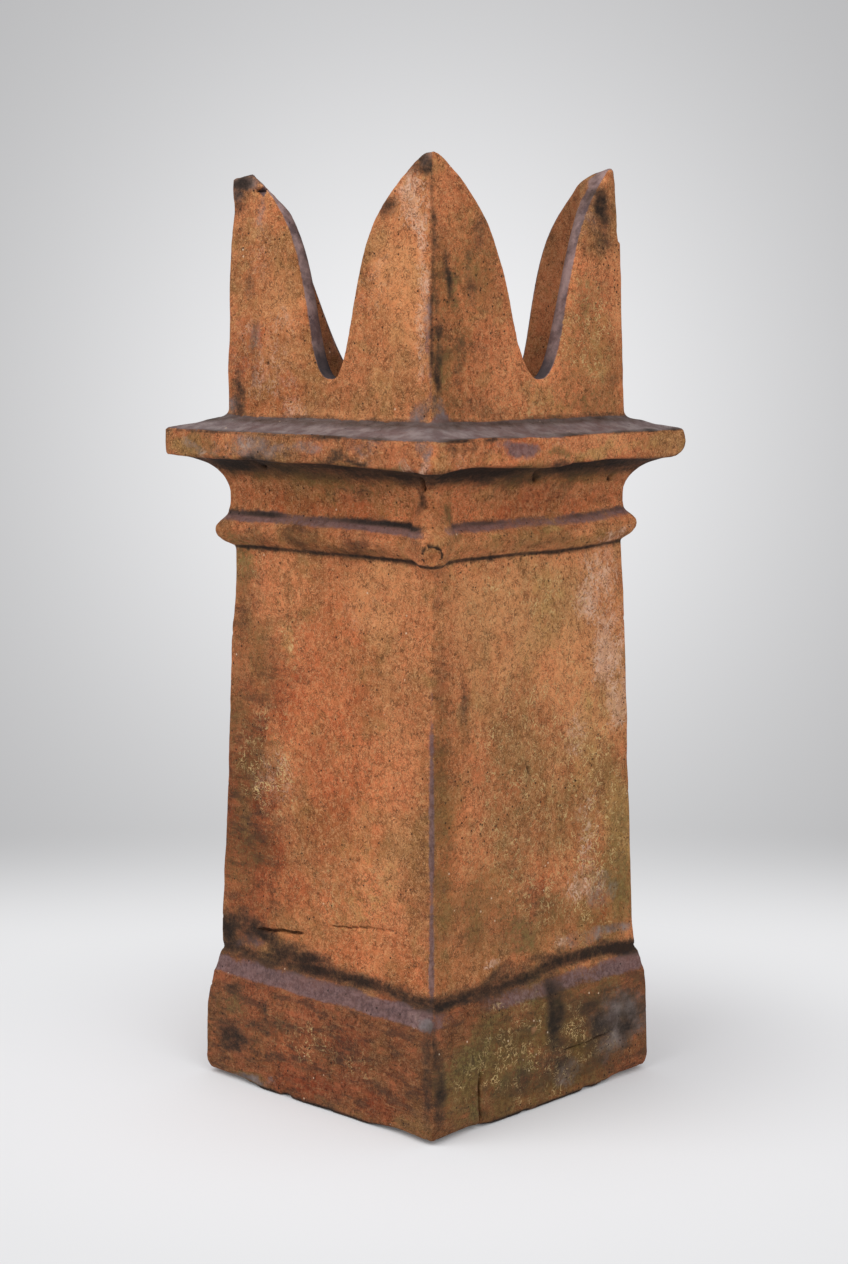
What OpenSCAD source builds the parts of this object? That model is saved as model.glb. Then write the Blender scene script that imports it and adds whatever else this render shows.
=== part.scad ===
// Crown-top chimney pot: one square, hollow terracotta casting, open at both ends.
// Millimetres, +Z up. The origin is the centre of the underside.
// Sides and corners are counted anticlockwise from above, starting at -Y:
//   side 0 faces -Y, side 1 faces +X, side 2 faces +Y and side 3 faces -X;
//   corner 0 joins sides 0 and 1, corner 1 joins sides 1 and 2, and so on.

/* [Overall] */
// Width of the square base across its faces
base_w = 305; // [240:1:400]
// Height to the top of the tallest horn
total_h = 868; // [700:1:1100]

/* [Base] */
// Height of the upright plinth
plinth_h = 72; // [50:1:120]
// How far each plinth face leans in over its height
plinth_batter = 2; // [0:0.5:6]
// Height of the splayed weathering above the plinth
weathering_h = 50; // [30:1:80]
// How far the weathering steps in on each side
weathering_d = 10; // [5:0.5:20]
// How far the arris round the foot is worn back
foot_wear = 3; // [0:0.5:8]
// Height of that wear
foot_wear_h = 6; // [1:0.5:15]

/* [Shaft] */
// How far each side leans in from the foot of the shaft to its head
shaft_taper = 11.5; // [0:0.5:25]

/* [Cornice] */
// Radius of the bead round the head of the shaft
bead_r = 16; // [10:0.5:20]
// How far the bead stands out from the neck
bead_out = 9.5; // [4:0.5:12]
// Height from the middle of the bead to the foot of the hollow
neck_h = 30; // [22:1:50]
// How far each side of the neck stands out from the head of the shaft
neck_step = 2; // [0:0.5:5]
// Radius of the hollow under the flange
cavetto_r = 36; // [20:1:55]
// How far the flange stands out beyond the hollow
flange_nose = 4.5; // [2:0.5:12]
// Thickness of the flange at its edge
flange_t = 27; // [16:1:40]
// Radius on the two edges of the flange
flange_round = 5; // [1:0.5:8]
// Rise of the sloping top of the flange
flange_rise = 10; // [0:1:20]
// Radius where the flange runs into the crown
crown_fillet = 8; // [2:1:12]

/* [Crown] */
// Height of the crown above the edge of the flange
crown_h = 243; // [180:1:320]
// How far each side leans in from the foot of the crown to its top
crown_taper = 5.5; // [0:0.5:12]
// Height from the edge of the flange to the bottom of the slots
slot_foot_h = 48; // [30:1:80]
// Width that the throat of each slot tends to, below the curve of the horns
slot_w = 94; // [60:2:110]

/* [Hollow] */
// Wall of the plinth at the underside
foot_wall = 28; // [18:0.5:40]
// Wall at the neck and at the foot of the crown
neck_wall = 21; // [14:0.5:28]
// How far the corners of the flue are cut back
flue_corner = 10; // [0:1:25]

/* [Wear] */
// How blunt the horns are at the tip
tip_wear = 5; // [3:0.5:10]

/* [Hidden] */

// How much further each slot reaches towards the side's two corners than half its width
slot_uneven = [[0, 0], [11, 10], [-6, 1], [1, 21]];
// Sideways place of the bottom of each slot
slot_foot_x = [2, 14, -3, -15];
// Powers of the height that open a slot's throat and curve its horns out to their tips
throat_power = 0.35;
horn_power = 4;
// How far the top of each horn is down from the tallest
tip_drop = [0, 4, 2, 9];
// Slope of the break across the top of each horn, falling towards the flue
tip_slope = [6, 14, 8, 22];
arc_steps = 10;
slot_steps = 22;
slack = 1;

base_half = base_w / 2;
plinth_half = base_half - plinth_batter;
shaft_foot_half = plinth_half - weathering_d;
shaft_head_half = shaft_foot_half - shaft_taper;
neck_half = shaft_head_half + neck_step;
flange_half = neck_half + cavetto_r + flange_nose;
crown_foot_half = neck_half;
crown_top_half = crown_foot_half - crown_taper;
flue_foot_half = base_half - foot_wall;
flue_neck_half = neck_half - neck_wall;

shaft_foot_z = plinth_h + weathering_h;
flange_z = total_h - crown_h;
soffit_z = flange_z - flange_t;
neck_z = soffit_z - cavetto_r;
bead_z = neck_z - neck_h;
slot_foot_z = flange_z + slot_foot_h;
// Height at which the two edges of a horn would meet if its tip weren't blunt
tip_z = total_h + tip_wear;
flue_top_z = tip_z + 2 * slack;

// Points of an arc about [x, z], from angle a to angle b
function arc(x, z, r, a, b, n = arc_steps) =
    [for (i = [0 : n]) let (t = a + (b - a) * i / n) [x + r * cos(t), z + r * sin(t)]];

// The bead starts and ends where its circle meets the shaft and the neck
bead_x = neck_half + bead_out - bead_r;
bead_foot_a = -acos((shaft_head_half - bead_x) / bead_r);
bead_head_a = acos((neck_half - bead_x) / bead_r);

// Right-hand edge of the outline seen square on, from the underside to the top
function outline() = concat(
    [[base_half - foot_wear, 0], [base_half, foot_wear_h]],
    weathering(),
    arc(bead_x, bead_z, bead_r, bead_foot_a, bead_head_a),
    arc(neck_half + cavetto_r, neck_z, cavetto_r, 180, 90),
    arc(flange_half - flange_round, soffit_z + flange_round, flange_round, -90, 0, 4),
    arc(flange_half - flange_round, flange_z - flange_round, flange_round, 0, 75, 4),
    arc(crown_foot_half + crown_fillet, flange_z + flange_rise + crown_fillet, crown_fillet, 255, 180, 4),
    [[crown_top_half, tip_z + slack]]);

// The weathering is steep and slightly round, with a flatter ledge at its top
function weathering() =
    [for (i = [0 : arc_steps]) let (u = i / arc_steps)
        [plinth_half - weathering_d * (0.5 * pow(u, 1.6) + 0.5 * pow(u, 5)), plinth_h + weathering_h * u]];

// The flue narrows up to the bead, and is upright above it
function flue_outline() = [
    [flue_foot_half, -slack],
    [flue_neck_half, bead_z],
    [flue_neck_half, flue_top_z]];

// The flue as seen across its corners, which are cut back
function flue_corner_outline() = [
    [flue_foot_half * sqrt(2) - flue_corner, -slack],
    [flue_neck_half * sqrt(2) - flue_corner, neck_z],
    [flue_neck_half * sqrt(2) - flue_corner, flue_top_z]];

// Both edges of a face, closed into one polygon
function both_sides(edge) =
    concat(edge, [for (i = [len(edge) - 1 : -1 : 0]) [-edge[i].x, edge[i].y]]);

// A prism of an outline, running along Y
module prism(edge) {
    depth = 4 * base_w;
    rotate([90, 0, 0])
        linear_extrude(height = depth, center = true)
            polygon(both_sides(edge));
}

// The square body that shows an outline on all four sides, with mitred corners
module square_body(edge) {
    intersection() {
        prism(edge);
        rotate([0, 0, 90]) prism(edge);
    }
}

module flue() {
    intersection() {
        square_body(flue_outline());
        rotate([0, 0, 45]) square_body(flue_corner_outline());
    }
}

// Right-hand edge of a slot, from its round bottom up to the tip of the horn
function slot_edge(foot_x, reach) =
    [for (i = [0 : slot_steps]) let (v = pow(i / slot_steps, 2))
        [foot_x + reach * pow(v, throat_power) + (crown_top_half - foot_x - reach) * pow(v, horn_power),
            slot_foot_z + (tip_z - slot_foot_z) * v]];

module slot_face(side) {
    right = slot_edge(slot_foot_x[side], slot_w / 2 + slot_uneven[side][1]);
    left = slot_edge(-slot_foot_x[side], slot_w / 2 + slot_uneven[side][0]);
    above = tip_z + 4 * slack;
    polygon(concat(
        right,
        [[crown_top_half, above], [-crown_top_half, above]],
        [for (i = [slot_steps : -1 : 1]) [-left[i].x, left[i].y]]));
}

module slots() {
    for (side = [0 : 3])
        rotate([0, 0, 90 * side])
            rotate([90, 0, 0])
                linear_extrude(height = base_w)
                    slot_face(side);
}

// What is broken off above each horn: all that lies over a plane that slopes to the flue
module broken_tips() {
    size = 4 * neck_wall;
    for (corner = [0 : 3])
        rotate([0, 0, 90 * corner - 45])
            translate([crown_top_half * sqrt(2), 0, total_h - tip_drop[corner]])
                rotate([0, -tip_slope[corner], 0])
                    translate([-size, -size, 0])
                        cube(2 * size);
}

module chimney_pot() {
    color("peru")
        difference() {
            square_body(outline());
            flue();
            slots();
            broken_tips();
        }
}

chimney_pot();
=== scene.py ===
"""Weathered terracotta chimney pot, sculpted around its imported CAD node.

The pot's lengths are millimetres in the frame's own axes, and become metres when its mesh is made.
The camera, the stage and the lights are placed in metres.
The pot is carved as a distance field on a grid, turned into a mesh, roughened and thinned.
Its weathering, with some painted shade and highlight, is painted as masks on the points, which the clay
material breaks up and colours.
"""

import math

import bpy
import numpy as np
from mathutils import Matrix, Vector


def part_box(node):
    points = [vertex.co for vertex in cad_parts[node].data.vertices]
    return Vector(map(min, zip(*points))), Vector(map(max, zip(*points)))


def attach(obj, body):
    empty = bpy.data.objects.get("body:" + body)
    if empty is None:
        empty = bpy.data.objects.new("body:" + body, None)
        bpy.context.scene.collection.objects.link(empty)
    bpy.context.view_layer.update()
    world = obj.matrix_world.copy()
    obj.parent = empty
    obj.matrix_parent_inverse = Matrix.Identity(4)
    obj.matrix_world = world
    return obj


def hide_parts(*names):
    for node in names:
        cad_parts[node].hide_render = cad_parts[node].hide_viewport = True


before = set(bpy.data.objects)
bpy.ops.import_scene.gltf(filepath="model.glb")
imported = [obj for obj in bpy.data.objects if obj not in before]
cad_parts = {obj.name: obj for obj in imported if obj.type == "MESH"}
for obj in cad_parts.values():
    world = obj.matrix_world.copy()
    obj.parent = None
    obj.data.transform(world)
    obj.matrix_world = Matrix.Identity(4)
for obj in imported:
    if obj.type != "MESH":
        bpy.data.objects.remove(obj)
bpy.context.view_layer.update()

NODE = "chimney_pot"
MM = 0.001
FLANGE_HALF, _, TOP_Z = np.array(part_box(NODE)[1]) / MM

# ---------------------------------------------------------------- sizes
FOOT_HALF = FLANGE_HALF - 19
PLINTH_HALF = FOOT_HALF - 2
PLINTH_Z = 72
SHAFT_FOOT_HALF = PLINTH_HALF - 10
SHAFT_FOOT_Z = 122
SHAFT_HEAD_HALF = SHAFT_FOOT_HALF - 11.5
NECK_HALF = SHAFT_HEAD_HALF + 2
CROWN_TOP_HALF = NECK_HALF - 5.5
FLANGE_Z = TOP_Z - 243
FLANGE_T = 27
SOFFIT_Z = FLANGE_Z - FLANGE_T
CAVETTO_R = 36
NECK_Z = SOFFIT_Z - CAVETTO_R
BEAD_Z = NECK_Z - 30
BEAD_R = 16
BEAD_X = NECK_HALF + 9.5 - BEAD_R
FLUE_FOOT_HALF = FOOT_HALF - 28
FLUE_NECK_HALF = NECK_HALF - 21
SLOT_FOOT_Z = FLANGE_Z + 48
HORN_Z = TOP_Z + 8

# Sides are counted anticlockwise from above, from the one that faces -Y.
SIDE_TURNS = range(4)
SLOT_FOOT_X = [2, 14, -3, -15]
# How far each slot opens to its left and right, and the power of the height that opens it
SLOT_LEFT = [(47, 0.35), (61, 0.42), (37, 0.35), (48, 0.35)]
SLOT_RIGHT = [(41, 0.35), (58, 0.4), (48, 0.35), (95, 0.7)]
# The slots cut only what is this far from the flue's axis, and cracks and pits what is further out
SLOT_FROM = 60
MARKS_FROM = 110

# The carving grid, and how far from the rough surface its points are worked out finely
GRID_STEP = 1.8
BAND = 9.0
MAX_TRIANGLES = 196000
# How much narrower the even shape is than the finished pot
EVEN_SCALE = 0.993
# The seeds of the painted masks: the first one, the step from kind to kind, and the one for grime and
# painted shade
PAINT_SEED = 70
PAINT_STEP = 4
GRIME_AND_SHADE_SEED = 130
# The reach, in half sizes, at which a stroke has faded out, and up to which it is full
STROKE_END = 1.4
STROKE_CORE = 0.25


# ---------------------------------------------------------------- noise
def lattice(seed):
    return np.random.default_rng(seed).uniform(-1, 1, (32, 32, 64)).astype(np.float32)


def noise(p, size, seed):
    """Smooth value noise from -1 to 1 at points p; size is its cell, or one for each axis."""
    q = p / np.asarray(size, np.float32) + np.float32(17.3)
    cell = np.floor(q).astype(np.int32)
    t = (q - cell).astype(np.float32)
    t = t * t * (3 - 2 * t)
    table = lattice(seed)
    x0, y0, z0 = cell[:, 0] & 31, cell[:, 1] & 31, cell[:, 2] & 63
    x1, y1, z1 = (x0 + 1) & 31, (y0 + 1) & 31, (z0 + 1) & 63
    tx, ty, tz = t[:, 0], t[:, 1], t[:, 2]

    def along_z(x, y):
        low = table[x, y, z0]
        return low + (table[x, y, z1] - low) * tz

    near = along_z(x0, y0)
    near += (along_z(x1, y0) - near) * tx
    far = along_z(x0, y1)
    far += (along_z(x1, y1) - far) * tx
    return near + (far - near) * ty


def fbm(p, size, seed, octaves=3, gain=0.5):
    size = np.asarray(size, np.float32)
    total = np.zeros(len(p), np.float32)
    weight = 1.0
    for octave in range(octaves):
        total += weight * noise(p, size / 2**octave, seed + octave)
        weight *= gain
    return total


def smoothstep(value, low, high):
    t = np.clip((value - low) / (high - low), 0, 1)
    return t * t * (3 - 2 * t)


def stripe(value, centre, far, close):
    """1 where the value is within close of the centre, and 0 where it is beyond far."""
    return smoothstep(np.abs(value - centre), far, close)


def soft_max(a, b, k):
    h = np.maximum(k - np.abs(a - b), 0)
    return np.maximum(a, b) + h * h / (4 * k)


def soft_min(a, b, k):
    return -soft_max(-a, -b, k)


# ---------------------------------------------------------------- outlines
def arc(x, z, r, start, end, steps):
    turns = np.radians(np.linspace(start, end, steps + 1))
    return [(x + r * math.cos(t), z + r * math.sin(t)) for t in turns]


def outline():
    """Right-hand edge of the pot seen square on, from the underside up past the horns."""
    foot_r = 2.5
    ledge = [(0, 0), (0.3, 10), (2.6, 28), (3.9, 31), (5, 34), (8, 45), (9.2, 48.5), (11, 51), (10.4, 56)]
    bead = [(0, -17), (1.5, -15.5), (7, -11), (10.6, -5.5), (11.6, 0), (10.8, 4), (8, 8), (4.5, 12),
            (2.8, 15), (2, 22)]
    edge_r = 2.5
    return (
        arc(FOOT_HALF - foot_r, foot_r, foot_r, -90, 0, 5)
        + [(PLINTH_HALF - inwards, PLINTH_Z + up) for inwards, up in ledge]
        + [(SHAFT_HEAD_HALF + outwards, BEAD_Z + up) for outwards, up in bead]
        + arc(NECK_HALF + CAVETTO_R, NECK_Z, CAVETTO_R, 180, 90, 14)
        + arc(FLANGE_HALF - edge_r, SOFFIT_Z + edge_r, edge_r, -90, 0, 4)
        + arc(FLANGE_HALF - edge_r, FLANGE_Z - edge_r, edge_r, 0, 80, 4)
        + [(NECK_HALF + 20, FLANGE_Z + 5), (NECK_HALF + 11, FLANGE_Z + 9)]
        + arc(NECK_HALF + 7.5, FLANGE_Z + 17, 7.5, 265, 180, 5)
        + [(CROWN_TOP_HALF, HORN_Z + 10)]
    )


def slot_edge(foot_x, reach, power):
    """Right-hand edge of a slot, from its round bottom up to the tip of the horn."""
    v = np.linspace(0, 1, 30) ** 2
    x = foot_x + reach * v**power + (CROWN_TOP_HALF - foot_x - reach) * v**4
    return list(zip(x, SLOT_FOOT_Z + (HORN_Z - SLOT_FOOT_Z) * v))


def slot_outline(side):
    right = slot_edge(SLOT_FOOT_X[side], *SLOT_RIGHT[side])
    left = [(-x, z) for x, z in slot_edge(-SLOT_FOOT_X[side], *SLOT_LEFT[side])]
    return right + [(CROWN_TOP_HALF + 20, HORN_Z + 30), (-CROWN_TOP_HALF - 20, HORN_Z + 30)] + left[:0:-1]


class Chart:
    """Signed distance to a closed outline, kept on a grid of 1 mm and read between its points."""

    def __init__(self, points, x_range, z_range):
        self.x0, self.z0 = x_range[0], z_range[0]
        xs = np.arange(x_range[0], x_range[1] + 1, dtype=np.float64)
        zs = np.arange(z_range[0], z_range[1] + 1, dtype=np.float64)
        gx, gz = np.meshgrid(xs, zs, indexing="ij")
        near = np.full(gx.shape, np.inf)
        inside = np.zeros(gx.shape, bool)
        ends = points[1:] + points[:1]
        for (ax, az), (bx, bz) in zip(points, ends):
            dx, dz = bx - ax, bz - az
            along = np.clip(((gx - ax) * dx + (gz - az) * dz) / max(dx * dx + dz * dz, 1e-9), 0, 1)
            near = np.minimum(near, np.hypot(gx - ax - along * dx, gz - az - along * dz))
            crosses = (az > gz) != (bz > gz)
            if dz:
                inside ^= crosses & (gx < ax + (gz - az) * dx / dz)
        self.table = np.where(inside, -near, near).astype(np.float32)

    def __call__(self, x, z):
        x = np.clip(x - self.x0, 0, self.table.shape[0] - 1.001).astype(np.float32)
        z = np.clip(z - self.z0, 0, self.table.shape[1] - 1.001).astype(np.float32)
        i, k = x.astype(np.int32), z.astype(np.int32)
        x -= i
        z -= k
        t = self.table
        low = t[i, k] + (t[i + 1, k] - t[i, k]) * x
        high = t[i, k + 1] + (t[i + 1, k + 1] - t[i, k + 1]) * x
        return low + (high - low) * z


def flue_half(z):
    return np.interp(z, [0, BEAD_Z], [FLUE_FOOT_HALF, FLUE_NECK_HALF]).astype(np.float32)


def side_axes(x, y, side):
    """Coordinates along a side, from its left to its right, and outwards from the middle."""
    return [(x, -y), (y, x), (-x, y), (-y, -x)][side]


# ---------------------------------------------------------------- carving
# Places where the soft clay was pushed before firing: centre, radius and movement.
PUSHES = [
    ((150, -150, 0), 36, (3, -3, 0)), ((-171, -171, 612), 50, (-2.2, -2.2, 1)),
    ((-139, -139, 532), 24, (-1.8, -1.8, 0)), ((-127, -127, 690), 70, (-2.4, -2.4, 0)),
    ((-129, -129, 470), 50, (2, 2, 0)), ((-127, -127, 780), 60, (-2, -2, 0)),
    ((-125, -125, 846), 18, (-1.8, -1.8, 0)), ((-139, -139, 524), 30, (0, 0, -3)),
    ((-148, -148, 92), 26, (1.4, 1.4, 0)), ((137, 137, 190), 90, (1, 1, 0)),
    ((133, 133, 280), 90, (1.2, 1.2, 0)), ((131, 131, 370), 90, (2, 2, 0)),
    ((129, 129, 460), 90, (2, 2, 0)), ((135, 135, 532), 60, (0.6, 0.6, 4)),
    ((142, 142, 116), 30, (2, 2, 0)), ((171, 171, 612), 40, (0.8, 0.8, 1)),
    ((139, -139, 528), 34, (1, -1, -4)), ((171, -171, 600), 30, (0.5, -0.5, -2)),
    ((30, -172, 598), 60, (0, 0, 1.5)), ((172, -20, 598), 40, (0, 0, -3)),
    ((172, 70, 600), 50, (0, 0, 2)), ((172, -110, 600), 40, (0, 0, 2.5)),
    ((-60, -172, 598), 40, (0, 0, 2)), ((60, 172, 598), 50, (0, 0, 2.5)),
    ((-172, 40, 600), 60, (0, 0, -2.5)), ((-172, -90, 620), 50, (0, 0, 2)),
    ((30, 139, 532), 60, (0, 1.5, -2)), ((-139, 60, 532), 50, (-1, 0, 2)),
]


def ball(p, centre, radius):
    return np.linalg.norm(p - np.asarray(centre, np.float32), axis=1) - radius


def block(p, centre, half, turn, rounding):
    """A rounded box, turned by so many degrees about its vertical axis."""
    c, s = math.cos(math.radians(turn)), math.sin(math.radians(turn))
    q = p - np.asarray(centre, np.float32)
    q = np.abs(np.stack([c * q[:, 0] + s * q[:, 1], c * q[:, 1] - s * q[:, 0], q[:, 2]], 1))
    q -= np.asarray(half, np.float32) - rounding
    outer = np.linalg.norm(np.maximum(q, 0), axis=1)
    return outer + np.minimum(q.max(1), 0) - rounding


def plane(p, point, normal):
    """Distance from a plane, negative on the side its normal points away from."""
    normal = np.asarray(normal, np.float32)
    return (p - np.asarray(point, np.float32)) @ (normal / np.linalg.norm(normal))


def unwarped(p):
    """Where each point was in the even shape, before the clay sagged and was pushed."""
    q = p * np.array([EVEN_SCALE, EVEN_SCALE, 1], np.float32)
    q[:, 0] += 0.9 * noise(p, 190, 1) + 0.6 * noise(p, 60, 2)
    q[:, 1] += 0.9 * noise(p, 190, 3) + 0.6 * noise(p, 60, 4)
    q[:, 2] += smoothstep(p[:, 2], 0, 60) * (1.3 * noise(p, 230, 5) + 0.9 * noise(p, 55, 6))
    for centre, radius, move in PUSHES:
        offset = p - np.array(centre, np.float32)
        here = np.nonzero(np.abs(offset).max(1) < 2 * radius)[0]
        away = (offset[here] ** 2).sum(1) / radius**2
        q[here] -= np.exp(-2 * away)[:, None] * np.array(move, np.float32)
    return q


class Pot:
    def __init__(self):
        body = outline()
        body = [(0, body[0][1])] + body + [(0, body[-1][1])]
        self.body = Chart(body, (60, 200), (-20, 900))
        self.slots = [Chart(slot_outline(side), (-150, 150), (640, 900)) for side in SIDE_TURNS]

    def rough(self, x, y, z):
        """Distance on a whole grid, without warps or damage. x, y and z are its three axes."""
        across = self.body(*np.meshgrid(np.abs(x), z, indexing="ij"))
        deep = self.body(*np.meshgrid(np.abs(y), z, indexing="ij"))
        solid = np.maximum(across[:, None, :], deep[None, :, :])
        flue = np.maximum(np.abs(x)[:, None, None], np.abs(y)[None, :, None]) - flue_half(z)
        solid = np.maximum(solid, -flue)
        for side in SIDE_TURNS:
            along, out = side_axes(x, y, side)
            slot = self.slots[side](*np.meshgrid(along, z, indexing="ij"))
            if side % 2 == 0:
                slot = np.where(out[None, :, None] > SLOT_FROM, -slot[:, None, :], -1e3)
            else:
                slot = np.where(out[:, None, None] > SLOT_FROM, -slot[None, :, :], -1e3)
            solid = np.maximum(solid, slot)
        return solid

    def fine(self, p):
        """Distance at points near the surface, with the warped clay and its damage."""
        x, y, z = unwarped(p).T
        # Only the corners are rounded; elsewhere the two distances can be equal on a level face
        corner = smoothstep(np.minimum(np.abs(x), np.abs(y)), 60, 110)
        arris = 4 + 2 * noise(p, 40, 7) - 2 * stripe(z, 610, 20, 14)
        # The arris is rounder at the foot
        arris += 13 * smoothstep(z, 16, 0)
        solid = soft_max(self.body(np.abs(x), z), self.body(np.abs(y), z), 0.1 + corner * arris)
        inner = soft_max(np.abs(x), np.abs(y), 46) - flue_half(z)
        solid = soft_max(solid, -inner, 5)
        for side in SIDE_TURNS:
            along, out = side_axes(x, y, side)
            here = (out > SLOT_FROM) & (z > SLOT_FOOT_Z - 30)
            slot = self.slots[side](along[here], z[here])
            solid[here] = soft_max(solid[here], -slot, 5)
        return self.damage(p, solid)

    def damage(self, p, solid):
        ragged = 0.8 * noise(p, 9, 20) + 0.5 * noise(p, 4.5, 21)

        def near(z_low, z_high):
            return np.nonzero((p[:, 2] > z_low) & (p[:, 2] < z_high))[0]

        def horn(side_x, side_y):
            return np.nonzero((p[:, 2] > TOP_Z - 70) & (p[:, 0] * side_x > 20) & (p[:, 1] * side_y > 20))[0]

        def add(zone, shape, k):
            solid[zone] = soft_min(solid[zone], shape, k)

        def bite(zone, centre, radius, k=2.5, rag=1.0):
            """Takes a ball out of the clay; k rounds the edges and rag roughens them."""
            solid[zone] = soft_max(solid[zone], rag * ragged[zone] - ball(p[zone], centre, radius), k)

        def knock_off(zone, point, normal, k=2.5, rag=1.0):
            """Breaks off the clay beyond a plane."""
            solid[zone] = soft_max(solid[zone], rag * ragged[zone] + plane(p[zone], point, normal), k)

        # The lump of clay at the front corner of the bead, and the facet broken off it
        bead = near(BEAD_Z - 40, BEAD_Z + 40)
        corner = BEAD_X + 11
        add(bead, block(p[bead], (corner - 3, -corner + 3, BEAD_Z - 4), (15, 12, 17), -45, 5), 8)
        add(bead, ball(p[bead], (corner - 4, -corner + 4, BEAD_Z + 14), 16), 14)
        bite(bead, (corner + 17, -corner - 17, BEAD_Z - 15), 17, 1.5, 0.6)
        # The front corner of the flange, knocked off and crumbling below, and its worn right-hand corner
        flange = near(SOFFIT_Z - 30, FLANGE_Z + 20)
        corner = FLANGE_HALF
        front = flange[(p[flange, 0] > corner - 30) & (p[flange, 1] < 30 - corner)]
        knock_off(front, (corner - 12, -corner + 1, FLANGE_Z), (0.5, -1, 0.2), 0.5, 0.5)
        bite(front, (corner + 5, -corner - 5, SOFFIT_Z - 2), 12, 2, 1.4)
        bite(front, (corner - 26, -corner - 8, SOFFIT_Z - 4), 11)
        bite(flange, (corner + 8, 18, SOFFIT_Z - 4), 12)
        bite(flange, (-60, corner + 7, FLANGE_Z + 2), 12)
        end = flange[(p[flange, 0] > 140) & (p[flange, 1] > 140) & (p[flange, 2] > SOFFIT_Z - 8)]
        knock_off(end, (corner, corner, SOFFIT_Z + 6), (0.7, 0.7, -1), 6, 0.4)
        knock_off(end, (corner - 0.5, corner - 0.5, FLANGE_Z), (0.8, 0.8, 0.6), 5, 0.4)
        # The broken tip of the left horn, and worn tips on the rest
        tip = CROWN_TOP_HALF
        left = horn(-1, -1)
        knock_off(left, (-tip, -tip, TOP_Z - 12), (-0.1, -0.2, 1), 2, 1.6)
        knock_off(left, (-tip + 42, -tip, TOP_Z - 23), (0.51, 0.49, 0.71), 2)
        bite(left, (-tip + 36, -tip + 1, TOP_Z - 26), 4.5, 1)
        knock_off(horn(1, 1), (tip, tip, TOP_Z + 1), (-0.25, -0.2, 1), 4)
        knock_off(horn(1, 1), (tip, tip, TOP_Z - 46), (1, 1, 0.13), 6)
        knock_off(horn(1, -1), (tip, -tip, TOP_Z + 3), (-0.1, 0.1, 1), 5)
        knock_off(horn(-1, 1), (-tip, tip, TOP_Z - 2), (0.2, -0.1, 1), 4)
        # Bites out of the cut edges of the horns
        horns = near(SLOT_FOOT_Z - 20, TOP_Z)
        for spot, radius in [
            ((tip - 44, 133, 817), 8), ((tip - 12, 46, 800), 6), ((102, tip - 62, 772), 5),
            ((129, -56, 822), 5), ((76, -133, 834), 5), ((-70, -131, 815), 4), ((128, 62, 806), 4),
            ((-128, 60, 790), 7), ((-40, 131, 752), 6), ((-132, -47, 768), 5), ((60, 129, 812), 6),
        ]:
            bite(horns, spot, radius)
        # The foot: notches in its lower edge, worn corners and the scabby front arris
        foot = near(-5, 40)
        for spot, radius in [
            ((-38, -157, -2), 8), ((-84, -158, -3), 8), ((20, -160, -5), 9), ((157, -89, -2), 8),
            ((159, -30, -5), 9), ((157, 60, -3), 8), ((158, 112, -3), 9), ((-157, 40, -2), 9),
            ((-30, 158, -3), 9), ((90, 157, -2), 8), ((-158, -90, -4), 9),
            ((-153, 153, 0), 13), ((-158, -158, -5), 15), ((158, 158, -5), 15),
        ]:
            bite(foot, spot, radius, 3)
        arris = near(0, 150)
        edge = np.abs(p[arris, 0] + p[arris, 1]) / 8
        scab = np.exp(-edge * edge) * (p[arris, 0] > 100)
        solid[arris] += scab * (1.3 * noise(p[arris], 8, 22) + 0.9 * noise(p[arris], 4, 23))
        ledge = PLINTH_HALF - 3
        bite(arris, (ledge + 11, -ledge - 11, 104), 13, 2)
        self.cracks(p, solid)
        self.gouges(p, solid)
        return solid

    def cracks(self, p, solid):
        """Narrow splits: side, the two ends as (along, z), width and depth."""
        x, y, z = p.T
        for side, start, end, width, depth in [
            (0, (-92, 150), (-24, 158), 1.7, 5), (0, (0, 171), (96, 182), 0.9, 2.5),
            (1, (-90, 0), (-88, 54), 1.6, 6), (1, (22, 47), (104, 49), 0.9, 3),
            (0, (127, 579), (134, 594), 1.9, 9), (0, (-99, 842), (-80, 848), 1.2, 9),
            (2, (40, 0), (46, 60), 1.3, 5), (3, (-70, 128), (-10, 133), 1.2, 4),
            (2, (-80, 150), (-30, 146), 1.2, 4),
        ]:
            along, out = side_axes(x, y, side)
            low, high = min(start[1], end[1]) - 12, max(start[1], end[1]) + 12
            here = np.nonzero((out > MARKS_FROM) & (z > low) & (z < high) & (out > np.abs(along) - 12))[0]
            q = p[here]
            u = along[here] + 1.6 * noise(q, 13, 30)
            v = z[here] + 1.6 * noise(q, 13, 31)
            du, dv = end[0] - start[0], end[1] - start[1]
            length = math.hypot(du, dv)
            t = np.clip(((u - start[0]) * du + (v - start[1]) * dv) / length**2, 0, 1)
            away = np.hypot(u - start[0] - t * du, v - start[1] - t * dv)
            taper = np.sqrt(np.clip(np.minimum(t, 1 - t) * 6, 0.05, 1))
            split = away - width * taper
            solid[here] = soft_max(solid[here], np.minimum(-split, depth * taper + solid[here]), 1)

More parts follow.
